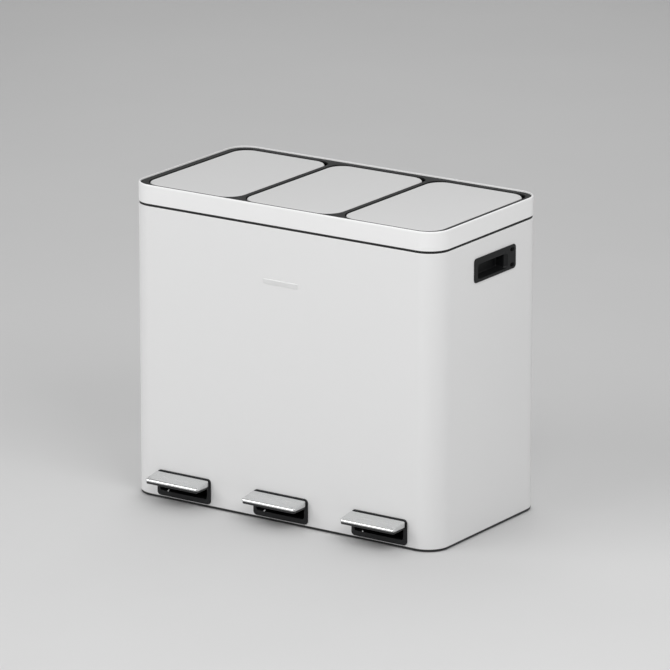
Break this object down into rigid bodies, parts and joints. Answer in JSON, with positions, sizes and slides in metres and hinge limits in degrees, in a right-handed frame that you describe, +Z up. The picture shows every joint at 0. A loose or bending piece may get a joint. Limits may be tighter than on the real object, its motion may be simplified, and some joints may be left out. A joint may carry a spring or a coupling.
{
  "type": "recycling bin station",
  "caption": "Free-standing pedal recycling station: a sheet-steel body with side-by-side compartments, each with a hinged lid, lift-out bucket and linked foot pedal.",
  "frame": {"origin": "centre of the bounding box at floor level, with the pedals included", "axes": "+X to the user's right along the row of compartments, +Y from the front to the back, +Z up"},
  "size_m": [0.604, 0.354, 0.5323],
  "materials": {
    "skin_paint": "satin",
    "rim_paint": "satin",
    "lid_paint": "satin",
    "base_plastic": "matt moulded",
    "frame_plastic": "matt moulded",
    "bezel_plastic": "fine texture",
    "pedal_plastic": "fine texture",
    "liner_plastic": "matt moulded",
    "bucket_plastic": "matt moulded",
    "guide_plastic": "matt moulded",
    "gasket_rubber": "matt",
    "foot_rubber": "matt",
    "zinc_steel": "zinc plated sheet",
    "lever_steel": "zinc plated",
    "pin_steel": "ground",
    "pedal_steel": "satin stainless",
    "plate_steel": "satin stainless",
    "screw_steel": "polished",
    "damper_tube": "black"
  },
  "bodies": {
    "cabinet": {"base_tray": "base_plastic", "feet": "foot_rubber", "body_shell": "skin_paint", "seam_gasket": "gasket_rubber", "top_rim": "rim_paint", "inner_frame": "frame_plastic", "bucket_platform": "zinc_steel", "service_panel": "zinc_steel", "pivot_brackets": "zinc_steel", "pivot_pins": "pin_steel", "rod_guides": "guide_plastic", "pedal_bezels": "bezel_plastic", "sill_screws": "screw_steel", "grip_left": "bezel_plastic", "grip_right": "bezel_plastic", "grip_screws": "screw_steel", "nameplate": "plate_steel", "bucket_left": "bucket_plastic", "bucket_middle": "bucket_plastic", "bucket_right": "bucket_plastic", "bail_left": "guide_plastic", "bail_middle": "guide_plastic", "bail_right": "guide_plastic", "lid_bumpers": "gasket_rubber", "damper_cylinders": "damper_tube", "damper_clamps": "zinc_steel"},
    "pedal_left": {"pedal_cover_left": "pedal_steel", "pedal_body_left": "pedal_plastic", "pedal_lever_left": "lever_steel", "lever_pin_left": "pin_steel"},
    "rod_left": {"push_rod_left": "lever_steel", "damper_rod_left": "pin_steel"},
    "lid_left": {"lid_skin_left": "lid_paint", "lid_liner_left": "liner_plastic", "lid_pins_left": "pin_steel"},
    "pedal_middle": {"pedal_cover_middle": "pedal_steel", "pedal_body_middle": "pedal_plastic", "pedal_lever_middle": "lever_steel", "lever_pin_middle": "pin_steel"},
    "rod_middle": {"push_rod_middle": "lever_steel", "damper_rod_middle": "pin_steel"},
    "lid_middle": {"lid_skin_middle": "lid_paint", "lid_liner_middle": "liner_plastic", "lid_pins_middle": "pin_steel"},
    "pedal_right": {"pedal_cover_right": "pedal_steel", "pedal_body_right": "pedal_plastic", "pedal_lever_right": "lever_steel", "lever_pin_right": "pin_steel"},
    "rod_right": {"push_rod_right": "lever_steel", "damper_rod_right": "pin_steel"},
    "lid_right": {"lid_skin_right": "lid_paint", "lid_liner_right": "liner_plastic", "lid_pins_right": "pin_steel"}
  },
  "joints": [
    {"name": "pedal_hinge_left", "type": "hinge", "parent": "cabinet", "child": "pedal_left", "pos_m": [-0.1934, -0.03999, 0.032], "axis": [1, 0, 0], "range_deg": [0, 9.79]},
    {"name": "rod_slide_left", "type": "slide", "parent": "cabinet", "child": "rod_left", "axis": [0, 0, 1], "range_m": [0, 0.02828]},
    {"name": "lid_hinge_left", "type": "hinge", "parent": "cabinet", "child": "lid_left", "pos_m": [-0.1934, 0.145, 0.5242], "axis": [-1, 0, 0], "range_deg": [0, 80]},
    {"name": "pedal_hinge_middle", "type": "hinge", "parent": "cabinet", "child": "pedal_middle", "pos_m": [0, -0.03999, 0.032], "axis": [1, 0, 0], "range_deg": [0, 9.79]},
    {"name": "rod_slide_middle", "type": "slide", "parent": "cabinet", "child": "rod_middle", "axis": [0, 0, 1], "range_m": [0, 0.02828]},
    {"name": "lid_hinge_middle", "type": "hinge", "parent": "cabinet", "child": "lid_middle", "pos_m": [0, 0.145, 0.5242], "axis": [-1, 0, 0], "range_deg": [0, 80]},
    {"name": "pedal_hinge_right", "type": "hinge", "parent": "cabinet", "child": "pedal_right", "pos_m": [0.1934, -0.03999, 0.032], "axis": [1, 0, 0], "range_deg": [0, 9.79]},
    {"name": "rod_slide_right", "type": "slide", "parent": "cabinet", "child": "rod_right", "axis": [0, 0, 1], "range_m": [0, 0.02828]},
    {"name": "lid_hinge_right", "type": "hinge", "parent": "cabinet", "child": "lid_right", "pos_m": [0.1934, 0.145, 0.5242], "axis": [-1, 0, 0], "range_deg": [0, 80]}
  ],
  "couplings": [
    {"joint": "rod_slide_left", "follows": "pedal_hinge_left", "m_per_rad": 0.16536},
    {"joint": "lid_hinge_left", "follows": "pedal_hinge_left", "ratio": 8.1635},
    {"joint": "rod_slide_middle", "follows": "pedal_hinge_middle", "m_per_rad": 0.16536},
    {"joint": "lid_hinge_middle", "follows": "pedal_hinge_middle", "ratio": 8.1635},
    {"joint": "rod_slide_right", "follows": "pedal_hinge_right", "m_per_rad": 0.16536},
    {"joint": "lid_hinge_right", "follows": "pedal_hinge_right", "ratio": 8.1635}
  ]
}
